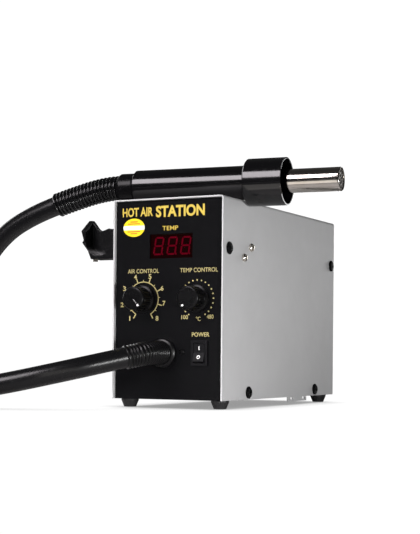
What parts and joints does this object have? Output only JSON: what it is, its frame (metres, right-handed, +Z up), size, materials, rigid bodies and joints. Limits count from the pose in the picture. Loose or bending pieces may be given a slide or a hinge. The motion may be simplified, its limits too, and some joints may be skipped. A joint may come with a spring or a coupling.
{
  "type": "hot air station",
  "caption": "Hot air soldering station: a grey steel case with a black dial panel and a diaphragm pump, and a heated handle on a hose that lies across the top.",
  "frame": {"origin": "middle of the footprint box on the surface that the feet stand on, without the hose", "axes": "+X to the right of the front panel, +Y from the front panel to the back, +Z up"},
  "size_m": [0.5588, 0.3748, 0.2098],
  "materials": {
    "grey_paint": "fine powder coat, satin",
    "black_paint": "satin black powder coat with yellow screen print",
    "foot_rubber": "matt",
    "black_screw": "black oxide, satin",
    "bright_steel": "nickel plated",
    "red_filter": "dark red acrylic",
    "display_black": "moulded",
    "board_green": "solder resist",
    "zinc": "zinc plated",
    "knob_plastic": "satin moulded",
    "switch_plastic": "satin moulded",
    "brass_part": "plain",
    "black_plastic": "satin moulded",
    "core_steel": "laminated",
    "copper_wire": "enamelled",
    "bare_aluminium": "extruded",
    "handle_plastic": "semi-gloss moulded",
    "tube_steel": "polished stainless",
    "ceramic": "unglazed",
    "heater_wire": "oxidised",
    "relief_rubber": "semi-gloss moulded",
    "hose_rubber": "satin",
    "tie_strap": "woven hook and loop",
    "clear_tube": "translucent silicone"
  },
  "bodies": {
    "station": {"cover": "grey_paint", "chassis": "black_paint", "feet": "foot_rubber", "foot_screws": "bright_steel", "cover_screws": "black_screw", "spare_cradle_screws": "bright_steel", "display_filter": "red_filter", "display_digits": "display_black", "display_board": "board_green", "air_pot": "zinc", "temp_pot": "zinc", "pot_nuts": "zinc", "switch_housing": "switch_plastic", "switch_terminals": "brass_part", "hose_gland": "black_plastic", "gland_nut": "black_plastic", "gland_lock_screw": "black_screw", "cradle": "black_plastic", "cradle_screws": "bright_steel", "cradle_stud": "bright_steel", "pump_mounts": "foot_rubber", "pump_plate": "zinc", "arm_pin": "bright_steel", "pump_core": "core_steel", "pump_winding": "copper_wire", "pump_diaphragm": "foot_rubber", "pump_head": "black_plastic", "pump_spout": "black_plastic", "board_brackets": "zinc", "control_board": "board_green", "board_components": "display_black", "heat_sink": "bare_aluminium", "mains_socket": "black_plastic", "mains_pins": "brass_part", "socket_screws": "bright_steel", "fuse_holder": "black_plastic", "outlet_relief": "relief_rubber", "hose_outlet_run": "hose_rubber", "hose_coil": "hose_rubber", "hose_handle_run": "hose_rubber", "coil_tie": "tie_strap", "air_line": "clear_tube"},
    "air_dial": {"air_knob": "knob_plastic", "air_shaft": "zinc"},
    "temp_dial": {"temp_knob": "knob_plastic", "temp_shaft": "zinc"},
    "rocker": {"switch_rocker": "switch_plastic"},
    "pump_lever": {"pump_arm": "zinc", "pump_magnet": "core_steel"},
    "fuse_lid": {"fuse_cap": "black_plastic"},
    "handle": {"handle_barrel": "handle_plastic", "nose_sleeve": "handle_plastic", "heat_tube": "tube_steel", "nozzle_grill": "tube_steel", "heater_former": "ceramic", "heater_winding": "heater_wire", "mica_liner": "ceramic", "heater_carrier": "ceramic", "tail_collar": "handle_plastic", "tail_relief": "relief_rubber"}
  },
  "joints": [
    {"name": "air_dial_turn", "type": "hinge", "parent": "station", "child": "air_dial", "pos_m": [-0.0395, -0.1148, 0.091], "axis": [0, 1, 0], "range_deg": [-290, 10]},
    {"name": "temp_dial_turn", "type": "hinge", "parent": "station", "child": "temp_dial", "pos_m": [0.0115, -0.1148, 0.091], "axis": [0, 1, 0], "range_deg": [-4, 296]},
    {"name": "power_rocker_tilt", "type": "hinge", "parent": "station", "child": "rocker", "pos_m": [0.0145, -0.1145, 0.046], "axis": [1, 0, 0], "range_deg": [0, 20]},
    {"name": "pump_arm_swing", "type": "hinge", "parent": "station", "child": "pump_lever", "pos_m": [-0.0155, 0.0255, 0.024], "axis": [1, 0, 0], "range_deg": [-2, 2], "stiffness_Nm_per_rad": 2},
    {"name": "fuse_cap_turn", "type": "hinge", "parent": "station", "child": "fuse_lid", "pos_m": [-0.0435, 0.1275, 0.04], "axis": [0, -1, 0], "range_deg": [0, 90]},
    {"name": "handle_lift", "type": "slide", "parent": "station", "child": "handle", "axis": [0, 0, 1], "range_m": [0, 0.06]}
  ]
}
